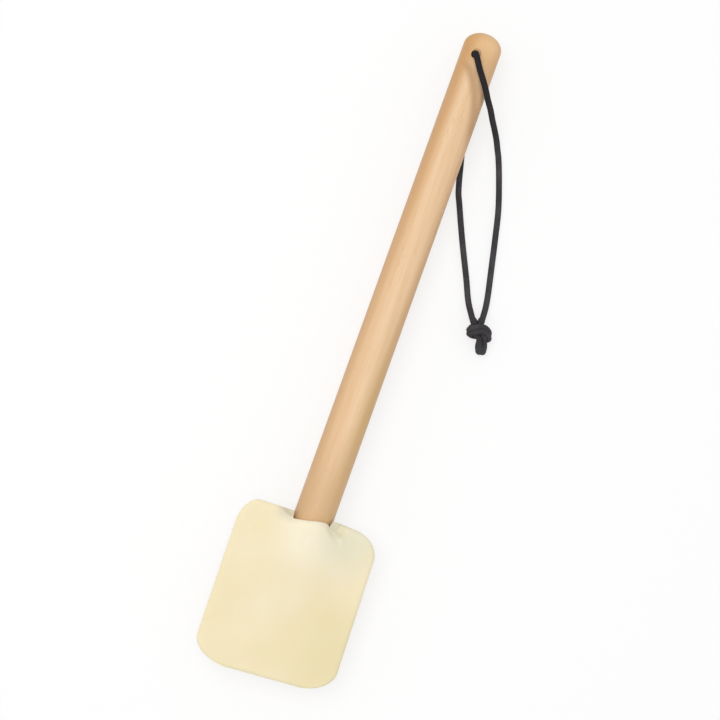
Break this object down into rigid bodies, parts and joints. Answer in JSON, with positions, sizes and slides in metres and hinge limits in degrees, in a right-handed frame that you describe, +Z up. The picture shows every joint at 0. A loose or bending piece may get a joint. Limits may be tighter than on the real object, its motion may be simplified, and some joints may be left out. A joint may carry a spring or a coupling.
{
  "type": "slap paddle",
  "caption": "Hand paddle with a turned wooden handle, a solid soft foam blade of bonded sheets round its end, and a knotted hanging cord through the tip.",
  "frame": {"origin": "under the middle of the paddle, on the surface that it lies on", "axes": "+Y along the handle from the blade to the tip, +Z up out of the blade's front sheet, +X to the right seen from above"},
  "size_m": [0.0968, 0.3701, 0.0332],
  "materials": {
    "beech": "satin lacquer",
    "foam": "matt, fine closed cells",
    "glue": "dull, dried film",
    "cord": "matt braided sheath"
  },
  "bodies": {
    "paddle": {"handle": "beech", "front_pad": "foam", "back_pad": "foam", "glue_film": "glue"},
    "loop": {"cord_front": "cord", "cord_back": "cord", "cord_knot": "cord"}
  },
  "joints": [
    {"name": "loop_swing", "type": "hinge", "parent": "paddle", "child": "loop", "pos_m": [-0.00329, 0.16957, 0.0166], "axis": [0, 0, 1], "range_deg": [0, 290]}
  ]
}
